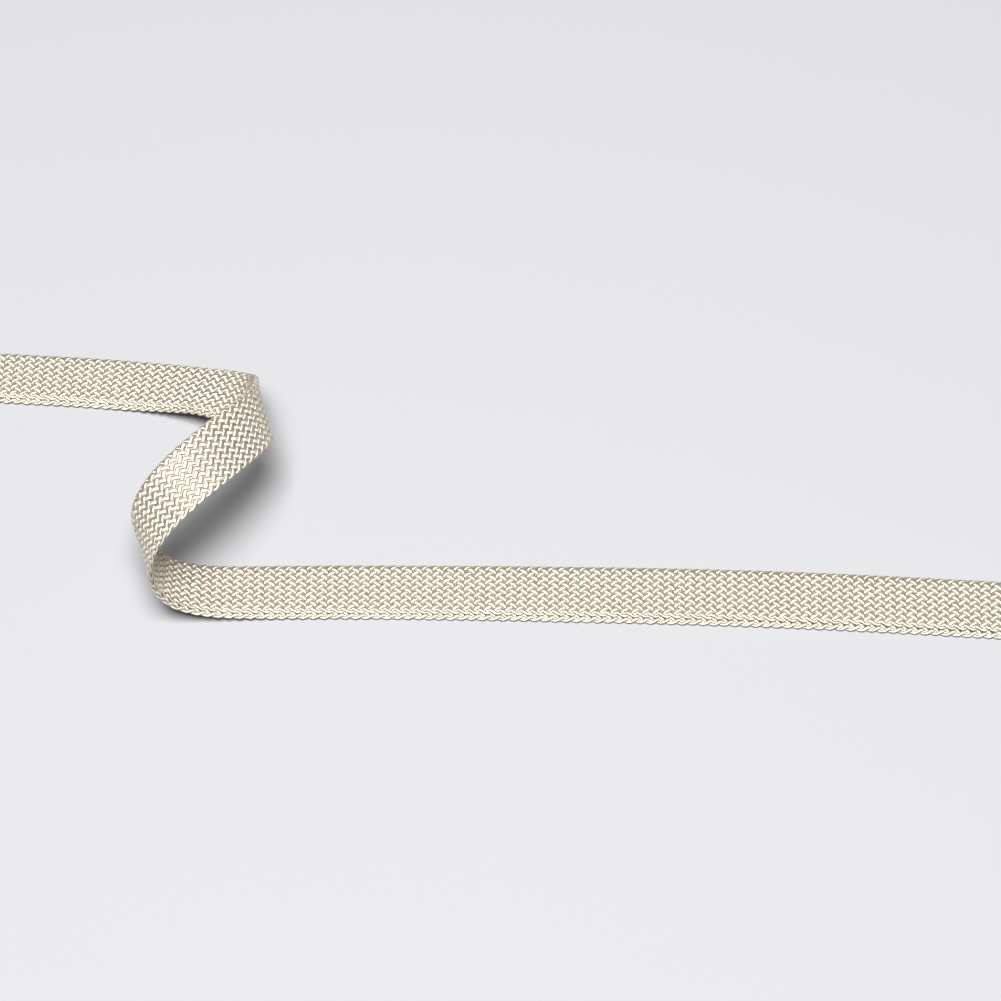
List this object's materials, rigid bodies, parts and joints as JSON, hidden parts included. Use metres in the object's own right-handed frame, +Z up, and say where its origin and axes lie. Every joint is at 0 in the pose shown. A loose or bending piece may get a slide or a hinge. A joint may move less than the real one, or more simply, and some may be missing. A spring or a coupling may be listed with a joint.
{
  "type": "cut length of folded braid trim",
  "caption": "Flat ivory braid folded double along its length, lying in one loose turn between two straight runs, its ends cut plain.",
  "frame": {"origin": "on the surface the trim lies on, at the middle of its footprint", "axes": "+Z up, +X along the straight runs, -Y towards the open edges"},
  "size_m": [0.2407, 0.0731, 0.0311],
  "materials": {
    "braid": "satin rayon yarn, ivory"
  },
  "bodies": {
    "root": {"folded_braid": "braid"}
  },
  "joints": []
}
